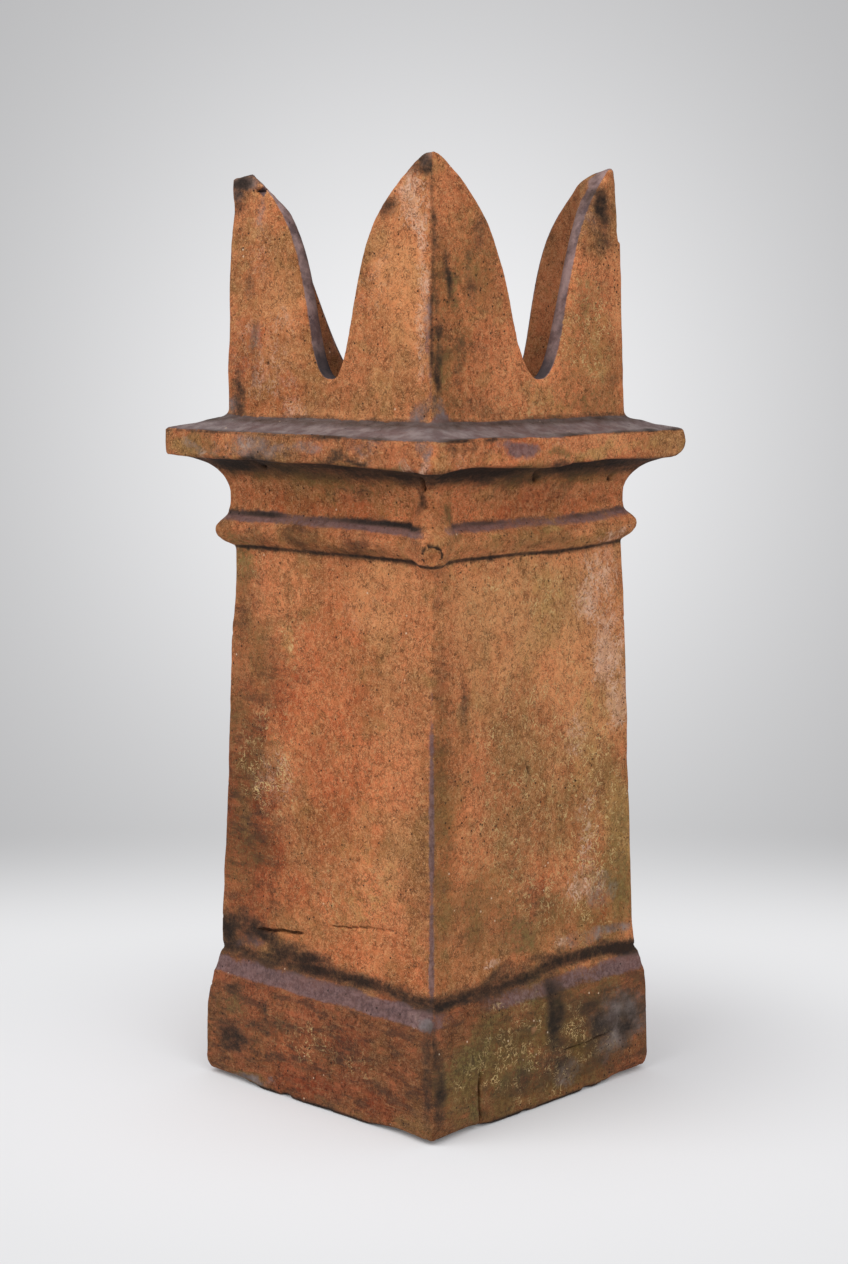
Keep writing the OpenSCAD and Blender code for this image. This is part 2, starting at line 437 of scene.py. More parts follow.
    def gouges(self, p, solid):
        """Oval pits: side, (along, z), radius, how much taller than wide, lean and depth."""
        x, y, z = p.T
        for side, (u, v), radius, tall, lean, depth in [
            (1, (-5, 316), 3.4, 2.4, -0.5, 4), (1, (-11, 511), 3.2, 1.3, 0.3, 3),
            (1, (-22, 509), 2.4, 1, 0, 2), (0, (-68, 594), 4.5, 0.8, 0, 5),
            (1, (-6, 586), 4.0, 1.8, -0.9, 5), (1, (106, 579), 3.2, 1.5, -0.4, 4),
            (0, (-78, 686), 3.2, 1, 0, 3), (0, (52, 783), 2.6, 1, 0, 2.5), (0, (70, 798), 2.2, 1, 0, 2),
            (1, (-14, 668), 4, 0.9, 0, 2.5), (2, (30, 340), 4, 1.6, 0.4, 4), (3, (-40, 420), 3.6, 1.2, 0, 3),
            (3, (62, 250), 3.2, 2, 0.3, 3), (2, (-66, 205), 3.5, 1.4, -0.3, 3),
        ]:
            along, out = side_axes(x, y, side)
            reach = radius * tall + 8
            close = (np.abs(z - v) < reach) & (np.abs(along - u) < reach)
            here = np.nonzero((out > MARKS_FROM) & close)[0]
            dv = z[here] - v
            du = along[here] - u - lean * dv
            oval = np.hypot(du, dv / tall) / radius + 0.25 * noise(p[here], 4, 32)
            bowl = depth * np.clip(1 - oval * oval, 0, 1)
            solid[here] += bowl


# ---------------------------------------------------------------- meshing
def surface_nets(field, origin, step):
    """Points and quads of the surface where the field is zero, one point to each cell it crosses."""
    inside = field < 0
    shape = np.array(field.shape) - 1
    corner_sum = np.zeros(shape, np.uint8)
    corners = [(i, j, k) for i in (0, 1) for j in (0, 1) for k in (0, 1)]

    def view(a, c):
        return a[c[0] : c[0] + shape[0], c[1] : c[1] + shape[1], c[2] : c[2] + shape[2]]

    for c in corners:
        corner_sum += view(inside, c)
    active = np.argwhere((corner_sum > 0) & (corner_sum < 8)).astype(np.int32)
    number = np.full(shape, -1, np.int32)
    number[tuple(active.T)] = np.arange(len(active))
    total = np.zeros((len(active), 3), np.float32)
    count = np.zeros(len(active), np.float32)
    for a in corners:
        for axis in range(3):
            if a[axis]:
                continue
            b = list(a)
            b[axis] = 1
            fa = field[tuple((active + a).T)]
            fb = field[tuple((active + b).T)]
            crossed = (fa < 0) != (fb < 0)
            t = np.where(crossed, fa / np.where(crossed, fa - fb, 1), 0)
            point = np.tile(np.array(a, np.float32), (len(active), 1))
            point[:, axis] = t
            total += point * crossed[:, None]
            count += crossed
    points = origin + step * (active + total / count[:, None])
    quads = []
    for axis in range(3):
        u, v = [(1, 2), (2, 0), (0, 1)][axis]
        low = [slice(0, n) for n in field.shape]
        high = list(low)
        low[axis] = slice(0, -1)
        high[axis] = slice(1, None)
        starts, ends = inside[tuple(low)], inside[tuple(high)]
        cells = np.argwhere(starts != ends)
        keep = (cells[:, u] > 0) & (cells[:, v] > 0) & (cells[:, u] < shape[u]) & (cells[:, v] < shape[v])
        cells = cells[keep]
        outward = starts[tuple(cells.T)]
        ring = []
        for du, dv in [(-1, -1), (0, -1), (0, 0), (-1, 0)]:
            cell = cells.copy()
            cell[:, u] += du
            cell[:, v] += dv
            ring.append(number[tuple(cell.T)])
        ring = np.stack(ring, 1)
        ring[~outward] = ring[~outward][:, ::-1]
        quads.append(ring)
    return points.astype(np.float32), np.concatenate(quads)


def largest_part(points, faces):
    """Drops any crumb that damage has cut loose from the pot."""
    label = np.arange(len(points))
    pairs = np.concatenate([faces[:, [0, 1]], faces[:, [1, 2]], faces[:, [2, 3]], faces[:, [3, 0]]])
    while True:
        lowest = np.minimum(label[pairs[:, 0]], label[pairs[:, 1]])
        new = label.copy()
        np.minimum.at(new, pairs[:, 0], lowest)
        np.minimum.at(new, pairs[:, 1], lowest)
        new = new[new]
        if np.array_equal(new, label):
            break
        label = new
    roots, sizes = np.unique(label, return_counts=True)
    keep = label == roots[np.argmax(sizes)]
    number = np.cumsum(keep) - 1
    return points[keep], number[faces[keep[faces[:, 0]]]]


def carve():
    pot = Pot()
    margin = 6
    half = FLANGE_HALF + margin
    x = np.arange(-half, half + GRID_STEP, GRID_STEP, dtype=np.float32)
    z = np.arange(-margin, TOP_Z + margin + GRID_STEP, GRID_STEP, dtype=np.float32)
    field = pot.rough(x, x, z)
    near = np.abs(field) < BAND
    i, j, k = np.nonzero(near)
    p = np.stack([x[i], x[j], z[k]], 1)
    field[near] = pot.fine(p)
    points, faces = surface_nets(field, np.array([x[0], x[0], z[0]], np.float32), GRID_STEP)
    return largest_part(points, faces)


def spread(p):
    """How far each point is from the flue's axis, measured square."""
    return np.maximum(np.abs(p[:, 0]), np.abs(p[:, 1]))


def outside(p):
    """1 on the outer faces and 0 in the flue."""
    return smoothstep(spread(p) - flue_half(p[:, 2]), 4, 10)


def roughen(points, normals):
    """Fine relief on the outer skin: hand-smoothed waves, drag marks and open pores."""
    skin = outside(points)
    z = points[:, 2]
    relief = 0.35 * fbm(points, 24, 40, 4, 0.6)
    relief += 0.12 * noise(points, (10, 10, 90), 45)
    dragged = smoothstep(z, 125, 100) + stripe(z, 575, 26, 10)
    relief -= 0.35 * dragged * np.clip(noise(points, (70, 70, 3.2), 46) - 0.35, 0, 1)
    pores = noise(points, 4.2, 47)
    relief -= 0.9 * smoothstep(pores, 0.62, 0.9)
    crumble = np.clip(noise(points, 60, 48) - 0.2, 0, 1)
    relief -= 0.8 * crumble * np.clip(noise(points, 7, 49), 0, 1)
    return points + normals * (relief * (0.06 + 0.94 * skin))[:, None]


def mesh_from(name, points, faces):
    mesh = bpy.data.meshes.new(name)
    corners = faces.shape[1]
    mesh.vertices.add(len(points))
    mesh.vertices.foreach_set("co", (points * MM).astype(np.float32).ravel())
    mesh.loops.add(faces.size)
    mesh.loops.foreach_set("vertex_index", faces.astype(np.int32).ravel())
    mesh.polygons.add(len(faces))
    mesh.polygons.foreach_set("loop_start", np.arange(0, faces.size, corners, dtype=np.int32))
    mesh.update(calc_edges=True)
    mesh.validate()
    return mesh


def point_arrays(mesh):
    """The mesh's points in millimetres, and its normals."""
    points = np.empty(len(mesh.vertices) * 3, np.float32)
    mesh.vertices.foreach_get("co", points)
    normals = np.empty(len(mesh.vertices) * 3, np.float32)
    mesh.vertex_normals.foreach_get("vector", normals)
    return points.reshape(-1, 3) / MM, normals.reshape(-1, 3)


def thin(obj, triangles):
    """Collapses the mesh to about that many triangles, most where it is flattest."""
    mesh = obj.data
    mesh.calc_loop_triangles()
    modifier = obj.modifiers.new("thin", "DECIMATE")
    modifier.ratio = min(1, triangles / len(mesh.loop_triangles))
    modifier.use_collapse_triangulate = True
    graph = bpy.context.evaluated_depsgraph_get()
    thinned = bpy.data.meshes.new_from_object(obj.evaluated_get(graph))
    obj.modifiers.clear()
    obj.data = thinned
    bpy.data.meshes.remove(mesh)


def sculpt():
    mesh = mesh_from("pot_terracotta", *carve())
    points, normals = point_arrays(mesh)
    mesh.vertices.foreach_set("co", (roughen(points, normals) * MM).astype(np.float32).ravel())
    mesh.update()
    obj = bpy.data.objects.new("pot_terracotta", mesh)
    bpy.context.scene.collection.objects.link(obj)
    thin(obj, MAX_TRIANGLES)
    obj.data.shade_smooth()
    return obj


# ---------------------------------------------------------------- camera, stage and light
CAMERA_AZIMUTH = math.radians(43.88)
CAMERA_AWAY = 2.221
CAMERA_UP = 0.726
CAMERA_PITCH = math.radians(7.57)
CAMERA_AIM = math.radians(0.082)
CAMERA_LENS = 66.93
TOWARDS = np.array([math.sin(CAMERA_AZIMUTH), -math.cos(CAMERA_AZIMUTH)])
LIGHT_AWAY = 3.4
LIGHT_SIZE = 3.4
LIGHT_AIM = np.array([0, 0, 0.45])


def place_camera():
    camera = bpy.data.cameras.new("camera")
    camera.sensor_width = 36
    camera.lens = CAMERA_LENS
    obj = bpy.data.objects.new("camera", camera)
    obj.location = (*(TOWARDS * CAMERA_AWAY), CAMERA_UP)
    obj.rotation_euler = (math.pi / 2 - CAMERA_PITCH, 0, CAMERA_AZIMUTH + CAMERA_AIM)
    bpy.context.scene.collection.objects.link(obj)
    bpy.context.scene.camera = obj


# The stage: its flat floor, the curve up to the wall and the wall's top
BOWL_FLAT = 3.0
BOWL_CURVE = 1.5
BOWL_TOP = 7.0
# The wall's soft glow, seen from the camera's distance, and the white of the floor
GLOW_LOW = 0.449
GLOW_HIGH = 0.448
GLOW_WIDE = 0.1225
GLOW_TALL = 0.126
GLOW_DROP = 0.0483
WHITE = 0.806


def build_bowl():
    """A round white floor that fades into a soft grey wall, lit the same from every quarter."""
    inner, edge = np.linspace(0, 0.24, 5), np.linspace(1.4, BOWL_FLAT, 17)
    flat = np.concatenate([inner, np.linspace(0.28, 1.3, 52), edge])
    bend = np.radians(np.linspace(0, 90, 25))[1:]
    r = np.concatenate([flat, BOWL_FLAT + BOWL_CURVE * np.sin(bend), np.full(20, BOWL_FLAT + BOWL_CURVE)])
    z = np.concatenate([np.zeros(len(flat)), BOWL_CURVE * (1 - np.cos(bend)),
                        np.linspace(BOWL_CURVE, BOWL_TOP, 21)[1:]])
    turns = 240
    a = np.linspace(0, 2 * math.pi, turns, endpoint=False)
    r_grid, a_grid = np.meshgrid(r, a, indexing="ij")
    z_grid = np.repeat(z[:, None], turns, 1)
    points = np.stack([r_grid * np.cos(a_grid), r_grid * np.sin(a_grid), z_grid], 2).reshape(-1, 3)
    i, j = np.meshgrid(np.arange(len(r) - 1), np.arange(turns), indexing="ij")
    right = (j + 1) % turns
    faces = np.stack([i * turns + j, (i + 1) * turns + j, (i + 1) * turns + right, i * turns + right], 2)
    mesh = mesh_from("backdrop", points / MM, faces.reshape(-1, 4))
    mesh.shade_smooth()
    behind = math.atan2(-TOWARDS[1], -TOWARDS[0])
    quarter = math.pi / 2
    folded = (a_grid - behind + quarter / 2) % quarter - quarter / 2
    back = r_grid * np.cos(folded)
    sideways = r_grid * np.sin(folded) / (back + CAMERA_AWAY) / GLOW_WIDE
    upwards = ((z_grid - CAMERA_UP) / (r_grid + CAMERA_AWAY) + GLOW_DROP) / GLOW_TALL
    glow = GLOW_LOW + GLOW_HIGH * np.exp(-(sideways**2 + upwards**2) / 2)
    white = 1 - smoothstep(0.65 * back + 0.35 * r_grid, 0.5, 1.15)
    store(mesh, "glow", (glow + (WHITE - glow) * white).ravel())
    store(mesh, "lit", (0.9 * (1 - smoothstep(r_grid, 0.22, 0.62))).ravel())
    obj = bpy.data.objects.new("backdrop", mesh)
    bpy.context.scene.collection.objects.link(obj)
    obj.data.materials.append(bowl_material())


def store(mesh, name, values):
    layer = mesh.attributes.new(name, "FLOAT", "POINT")
    layer.data.foreach_set("value", np.asarray(values, np.float32))


class Nodes:
    """A short way to write a material's node tree."""

    def __init__(self, name):
        self.material = bpy.data.materials.new(name)
        self.material.use_nodes = True
        self.tree = self.material.node_tree
        self.tree.nodes.clear()

    def link(self, socket, value):
        if isinstance(value, bpy.types.NodeSocket):
            self.tree.links.new(value, socket)
        elif isinstance(value, tuple) and len(value) == 3 and socket.type == "RGBA":
            socket.default_value = (*value, 1)
        else:
            socket.default_value = value

    def node(self, kind, **inputs):
        node = self.tree.nodes.new("ShaderNode" + kind)
        for key, value in inputs.items():
            if key[0].islower():
                setattr(node, key, value)
            else:
                self.link(node.inputs[key.replace("_", " ")], value)
        return node

    def math(self, operation, a, b=0.0):
        node = self.node("Math", operation=operation)
        self.link(node.inputs[0], a)
        self.link(node.inputs[1], b)
        return node.outputs[0]

    def attribute(self, name):
        return self.node("Attribute", attribute_name=name).outputs["Fac"]

    def between(self, value, low, high):
        """0 below low, 1 above high and smooth between; high may be the lower one."""
        flip = high < low
        node = self.node("MapRange", interpolation_type="SMOOTHSTEP", Value=value,
                         From_Min=min(low, high), From_Max=max(low, high),
                         To_Min=float(flip), To_Max=float(not flip))
        return node.outputs["Result"]

    def mix(self, factor, a, b, blend="MIX"):
        node = self.node("Mix", data_type="RGBA", blend_type=blend, clamp_factor=True)
        self.link(node.inputs["Factor"], factor)
        self.link(node.inputs[6], a)
        self.link(node.inputs[7], b)
        return node.outputs[2]

    def noise(self, coords, scale, detail, roughness, distortion=0.0, stretch=None):
        if stretch:
            coords = self.node("Mapping", Vector=coords, Scale=stretch).outputs[0]
        return self.node("TexNoise", Vector=coords, Scale=scale, Detail=detail, Roughness=roughness,
                         Distortion=distortion).outputs["Fac"]


def bowl_material():
    n = Nodes("backdrop_paper")
    floor = n.node("BsdfDiffuse", Color=(0.80, 0.80, 0.81)).outputs[0]
    strength = n.attribute("glow")
    glow = n.node("Emission", Color=(1.0, 1.0, 1.015), Strength=strength).outputs[0]
    mixed = n.node("MixShader", Fac=n.attribute("lit"))
    n.tree.links.new(glow, mixed.inputs[1])
    n.tree.links.new(floor, mixed.inputs[2])
    n.node("OutputMaterial", Surface=mixed.outputs[0])
    return n.material


def area_light(name, direction, watts):
    light = bpy.data.lights.new(name, "AREA")
    light.shape = "DISK"
    light.size = LIGHT_SIZE
    light.energy = watts
    obj = bpy.data.objects.new(name, light)
    z = np.array(direction) / np.linalg.norm(direction)
    obj.location = LIGHT_AIM + z * LIGHT_AWAY
    x = np.cross((0, 0, 1), z)
    x /= np.linalg.norm(x)
    y = np.cross(z, x)
    obj.rotation_euler = Matrix(np.stack([x, y, z], 1).tolist()).to_euler()
    bpy.context.scene.collection.objects.link(obj)


def light_stage():
    scene = bpy.context.scene
    scene.view_settings.view_transform = "Standard"
    world = bpy.data.worlds.new("studio")
    world.use_nodes = True
    background = world.node_tree.nodes["Background"].inputs
    background["Color"].default_value = (0.95, 0.97, 1.0, 1)
    background["Strength"].default_value = 0.9
    scene.world = world
    area_light("key", (-0.3, -1.0, 1.1), 66)
    area_light("fill", (1.0, -0.3, 0.75), 48)


# ---------------------------------------------------------------- weathering, with painted shade and highlight
# Each kind has the strokes of its four sides; a stroke is (along, up, half width, half height, strength).
STROKES = {
    "soot_and_shade": [
        [(-112, 148, 46, 24, 1), (-66, 140, 44, 13, 1), (-10, 133, 50, 8, 0.9), (55, 128, 45, 7, 0.95),
         (115, 122, 40, 6, 1), (-116, 44, 34, 15, 1), (-120, 92, 24, 10, 0.7), (-67, 80, 4, 28, 0.62),
         (-112, 671, 8, 22, 0.6), (-121, 646, 9, 20, 0.7), (-97, 702, 5, 36, 0.5),
         (-105, 757, 8, 16, 0.55), (76, 826, 14, 14, 0.6), (116, 866, 26, 14, 1),
         (-118, 850, 22, 26, 0.75), (40, 64, 34, 12, 0.5), (-60, 603, 62, 6, 0.72), (60, 600, 70, 4, 0.7),
         (147, 60, 8, 60, 0.8), (100, 33, 44, 4, 0.5), (-60, 34, 90, 3, 0.45), (60, 606, 20, 3, 0.7),
         (-95, 588, 4, 3, 0.9), (40, 572, 60, 1.5, 0.6), (122, 570, 9, 24, 0.6), (-60, 66, 60, 8, 0.45)],
        [(-148, 618, 9, 6, 0.6), (-110, 770, 7, 26, 0.8), (-122, 717, 5, 16, 0.7),
         (-120, 684, 6, 30, 0.85), (-77, 768, 9, 42, 0.45), (-95, 690, 9, 42, 0.45),
         (-126, 790, 4, 90, 0.6), (100, 832, 16, 24, 0.85), (94, 806, 16, 20, 0.62),
         (-122, 117, 32, 8, 1), (-62, 128, 42, 9, 0.95), (16, 134, 44, 8, 0.8), (92, 134, 60, 6, 0.62),
         (17, 80, 18, 46, 1), (14, 38, 40, 18, 0.75), (70, 36, 70, 30, 0.5), (-30, 76, 50, 26, 0.4),
         (100, 58, 60, 30, 0.85), (60, 84, 50, 16, 0.6), (-30, 30, 60, 16, 0.45), (-92, 388, 7, 34, 0.5),
         (-146, 60, 10, 60, 0.85), (-66, 812, 14, 20, 0.5), (-125, 618, 16, 7, 0.7),
         (-12, 603, 16, 6, 0.7), (20, 588, 120, 7, 0.6), (-70, 650, 50, 8, 0.5), (108, 664, 20, 12, 0.4),
         (60, 18, 90, 6, 0.45)],
        [(90, 148, 44, 18, 0.9), (0, 132, 90, 9, 0.9), (-90, 135, 50, 10, 0.8), (-30, 50, 60, 20, 0.6),
         (112, 690, 8, 60, 0.6), (-112, 760, 8, 60, 0.6), (60, 606, 90, 8, 0.5), (-100, 430, 8, 60, 0.4),
         (-118, 850, 18, 20, 0.7)],
        [(-60, 134, 80, 10, 0.9), (80, 146, 60, 18, 1), (100, 50, 40, 24, 0.7), (-110, 780, 9, 50, 0.7),
         (106, 700, 9, 60, 0.7), (0, 600, 120, 7, 0.5), (118, 850, 20, 26, 0.8), (40, 300, 10, 90, 0.4),
         (-118, 852, 18, 20, 0.7)],
    ],
    "red": [
        [(-46, 372, 38, 52, 0.6), (-85, 222, 46, 42, 0.95), (-122, 190, 30, 36, 0.7),
         (-28, 196, 56, 26, 0.5), (60, 270, 20, 90, 0.3), (10, 330, 66, 190, 0.55),
         (-100, 260, 46, 130, 0.7), (0, 55, 160, 60, 0.4), (-60, 740, 60, 90, 0.2),
         (80, 760, 60, 90, 0.25), (-90, 690, 40, 50, 0.7), (0, 560, 140, 14, 0.7), (60, 150, 90, 40, 0.4),
         (40, 66, 56, 18, 0.6), (-30, 22, 80, 20, 0.75), (90, 26, 46, 24, 0.7), (-45, 655, 40, 22, 0.5)],
        [(0, 560, 140, 14, 0.6), (-60, 611, 60, 10, 0.7), (-90, 730, 40, 100, 0.15), (92, 176, 7, 20, 1),
         (84, 162, 12, 5, 0.9), (-61, 614, 36, 9, 0.8), (12, 250, 9, 90, 0.5), (-120, 300, 24, 80, 0.4),
         (40, 20, 80, 14, 0.5)],
        [(30, 330, 60, 60, 0.6), (-70, 200, 50, 50, 0.6), (60, 40, 70, 26, 0.6)],
        [(-50, 420, 50, 70, 0.6), (60, 220, 50, 60, 0.7), (-60, 40, 70, 26, 0.6)],
    ],
    "ochre": [
        [(-142, 611, 30, 12, 0.9), (-80, 614, 60, 9, 0.5), (-110, 503, 22, 14, 0.8),
         (-50, 440, 12, 54, 0.55), (-80, 310, 46, 44, 0.5), (-85, 6, 34, 9, 1), (125, 8, 34, 12, 0.9),
         (40, 5, 90, 6, 0.6), (40, 215, 70, 60, 0.4), (30, 560, 100, 16, 0.5), (-110, 260, 20, 40, 0.5),
         (60, 672, 30, 30, 0.35)],
        [(-100, 611, 24, 9, 0.75), (50, 605, 60, 8, 0.95), (110, 610, 44, 12, 0.7),
         (22, 468, 36, 56, 0.5), (-58, 534, 14, 6, 0.9), (14, 538, 17, 6, 0.8), (75, 374, 9, 20, 0.8),
         (122, 236, 32, 90, 0.85), (78, 300, 26, 80, 0.5), (-60, 62, 80, 44, 0.6), (76, 712, 46, 60, 0.5),
         (24, 652, 34, 22, 0.6), (-20, 420, 60, 60, 0.3), (-60, 210, 60, 60, 0.35),
         (-120, 30, 30, 30, 0.7), (20, 118, 90, 6, 0.5)],
        [(0, 610, 120, 9, 0.6), (90, 260, 40, 90, 0.5), (-100, 480, 34, 50, 0.5), (0, 8, 130, 8, 0.7)],
        [(0, 610, 110, 10, 0.6), (90, 500, 34, 40, 0.6), (-90, 260, 40, 70, 0.4), (0, 8, 130, 8, 0.7)],
    ],
    "salt": [
        [(106, 822, 30, 38, 0.75), (120, 743, 12, 90, 0.66), (-61, 717, 32, 90, 0.5),
         (-38, 652, 40, 34, 0.5), (-92, 700, 44, 70, 0.5), (-60, 611, 120, 10, 0.5),
         (-90, 760, 40, 90, 0.4), (20, 613, 150, 10, 0.4), (165, 602, 8, 7, 1), (60, 760, 50, 90, 0.3),
         (46, 462, 44, 34, 0.42), (-74, 306, 46, 34, 0.5), (126, 110, 15, 9, 1), (138, 604, 10, 14, 0.8)],
        [(96, 478, 38, 50, 1), (110, 425, 30, 60, 1), (124, 372, 26, 46, 1), (66, 345, 26, 26, 0.65),
         (74, 250, 22, 60, 0.6), (68, 196, 36, 24, 0.95), (39, 144, 17, 8, 1), (-59, 138, 15, 5, 0.9),
         (102, 531, 34, 10, 0.75), (-60, 611, 110, 10, 0.4), (-20, 440, 60, 60, 0.3),
         (-138, 606, 8, 12, 0.8)],
        [(-90, 470, 30, 60, 0.6), (60, 160, 40, 20, 0.6)],
        [(80, 460, 30, 60, 0.5), (-70, 170, 30, 20, 0.6)],
    ],
    "algae": [
        [(-112, 505, 20, 22, 0.7), (-97, 700, 9, 44, 0.55), (-85, 7, 34, 7, 0.6), (-110, 78, 34, 24, 0.5),
         (-116, 602, 36, 5, 0.7), (120, 596, 26, 6, 0.6), (30, 574, 90, 5, 0.45)],
        [(-99, 750, 7, 20, 1), (-109, 758, 5, 16, 0.8), (-120, 686, 4, 24, 0.8), (-24, 168, 24, 22, 0.85),
         (124, 215, 26, 60, 0.6), (-100, 66, 44, 34, 0.6), (-36, 44, 50, 16, 0.65),
         (-92, 16, 16, 24, 0.9), (-20, 100, 70, 6, 0.6), (38, 572, 22, 9, 0.7), (-10, 603, 24, 6, 0.85),
         (-113, 560, 10, 12, 1), (-107, 539, 9, 8, 1), (70, 650, 60, 18, 0.5), (14, 70, 16, 34, 0.7),
         (76, 742, 30, 30, 0.5), (-30, 300, 60, 90, 0.35), (90, 90, 50, 16, 0.4)],
        [(100, 690, 14, 60, 0.6), (0, 60, 110, 34, 0.6), (-60, 170, 30, 22, 0.6), (-110, 500, 20, 20, 0.7)],
        [(100, 730, 16, 60, 0.6), (60, 60, 70, 34, 0.5), (-100, 505, 24, 18, 0.7), (0, 168, 40, 16, 0.4)],
    ],
    "olive": [
        [(-115, 330, 34, 60, 0.45), (-104, 400, 44, 60, 0.4), (-122, 500, 22, 40, 0.5),
         (-110, 215, 60, 60, 0.4), (-40, 160, 60, 30, 0.3), (0, 588, 150, 12, 0.7), (0, 526, 150, 9, 0.3),
         (-110, 611, 60, 12, 0.35), (-60, 50, 90, 30, 0.25)],
        [(-60, 190, 60, 60, 0.5), (-124, 260, 26, 150, 0.6), (96, 180, 60, 60, 0.85),
         (20, 160, 60, 40, 0.6), (124, 300, 24, 90, 0.4), (0, 50, 160, 70, 0.9), (96, 60, 60, 60, 0.8),
         (60, 270, 40, 60, 0.4), (0, 588, 150, 12, 0.7), (0, 528, 150, 10, 0.5), (-112, 710, 34, 90, 0.5),
         (-70, 780, 40, 60, 0.45), (84, 690, 50, 60, 0.35)],
        [(0, 590, 150, 12, 0.6), (0, 50, 150, 60, 0.5), (-80, 200, 70, 70, 0.6), (90, 400, 40, 90, 0.5),
         (0, 720, 130, 50, 0.4)],
        [(0, 590, 150, 12, 0.6), (0, 50, 150, 60, 0.5), (70, 260, 70, 90, 0.5), (-90, 420, 40, 90, 0.5)],
    ],
    "ash": [
        [(-112, 856, 26, 10, 1), (-122, 838, 8, 14, 0.7), (128, 862, 16, 12, 0.8), (163, 618, 10, 10, 1),
         (143, 106, 9, 9, 1), (118, 645, 16, 12, 0.6), (-124, 645, 16, 14, 0.6), (-40, 612, 130, 9, 0.5),
         (90, 612, 60, 9, 0.35), (-60, 603, 50, 4, 0.6), (-90, 835, 10, 30, 0.4), (-96, 695, 8, 40, 0.5),
         (-85, 6, 36, 5, 0.7)],
        [(-122, 648, 14, 14, 0.5), (90, 142, 60, 8, 0.6), (108, 56, 50, 32, 0.8), (30, 30, 30, 20, 0.5),
         (90, 824, 24, 26, 0.5), (96, 190, 30, 20, 0.4)],
        [(100, 640, 30, 12, 0.6), (-60, 50, 60, 26, 0.5), (-118, 856, 18, 14, 0.7)],
        [(100, 50, 50, 26, 0.5), (120, 850, 20, 18, 0.8)],
    ],
    "slate": [
        [(-100, 136, 30, 8, 0.5), (126, 700, 5, 70, 0.6), (118, 640, 16, 10, 0.6)],
        [(-62, 613, 34, 8, 0.7), (-123, 640, 14, 10, 0.7)],
        [(60, 50, 70, 20, 0.4)],
        [(20, 60, 60, 20, 0.4)],
    ],
    "grime_and_shade": [
        [(0, 100, 150, 20, 0.5), (-60, 50, 110, 50, 0.35), (0, 560, 150, 20, 0.3), (0, 530, 160, 18, 1),
         (-112, 270, 40, 130, 0.9), (-120, 470, 40, 60, 0.45), (-80, 400, 50, 60, 0.35),
         (-100, 240, 60, 90, 0.45), (-30, 655, 60, 30, 0.2), (-125, 660, 20, 70, 0.5),
         (133, 300, 14, 200, 0.45), (-120, 840, 20, 40, 0.5), (-60, 540, 120, 14, 0.4)],
        [(0, 565, 150, 24, 0.45), (0, 530, 160, 16, 0.45), (0, 105, 150, 16, 0.4),
         (-30, 215, 110, 60, 0.35), (-120, 720, 26, 120, 0.6), (-70, 740, 40, 90, 0.4),
         (-126, 330, 24, 220, 0.55), (-40, 190, 110, 60, 0.6), (0, 60, 160, 70, 0.7),
         (90, 800, 40, 60, 0.45), (110, 250, 40, 90, 0.25), (-60, 540, 70, 14, 0.3)],
        [(60, 450, 70, 90, 0.4), (-90, 220, 60, 110, 0.5), (0, 720, 130, 60, 0.3)],
        [(80, 400, 60, 120, 0.4), (-60, 220, 80, 90, 0.5), (0, 720, 130, 60, 0.3),
         (-110, 480, 30, 60, 0.4)],
    ],
    # Paler fresh clay, which on side 1's upper shaft is also a painted highlight
    "fresh_clay_and_highlight": [
        [(-66, 720, 34, 70, 0.7), (-40, 655, 40, 24, 0.6), (92, 770, 44, 90, 0.9), (70, 690, 60, 50, 0.5),
         (60, 480, 70, 60, 0.7), (30, 400, 50, 60, 0.4), (95, 420, 40, 120, 0.5), (0, 642, 120, 8, 0.7),
         (70, 250, 50, 80, 0.5), (60, 160, 60, 20, 0.5)],
        [(-20, 460, 120, 80, 1), (80, 430, 70, 130, 1), (40, 611, 140, 12, 0.7), (-60, 420, 50, 80, 0.5),
         (10, 340, 60, 90, 0.4), (-30, 690, 40, 50, 0.3), (60, 620, 90, 10, 0.5), (115, 760, 12, 60, 0.5)],
        [(0, 420, 90, 120, 0.5), (-70, 740, 40, 70, 0.5)],
        [(0, 500, 80, 60, 0.5), (60, 300, 50, 90, 0.4)],
    ],
    "scrawl": [
        [(-78, 312, 56, 56, 1), (-50, 440, 20, 70, 0.7), (-108, 500, 28, 30, 0.8), (0, 60, 140, 34, 0.45),
         (20, 215, 100, 70, 0.4)],
        [(10, 300, 130, 190, 0.7), (80, 250, 56, 160, 0.9), (-10, 52, 140, 50, 0.9), (-40, 104, 50, 5, 1),
         (76, 720, 50, 60, 0.8), (-30, 660, 90, 40, 0.6), (0, 480, 120, 60, 0.6)],
        [(0, 300, 130, 180, 0.6), (0, 55, 130, 44, 0.6)],
        [(0, 300, 130, 180, 0.6), (0, 55, 130, 44, 0.6)],
    ],
}


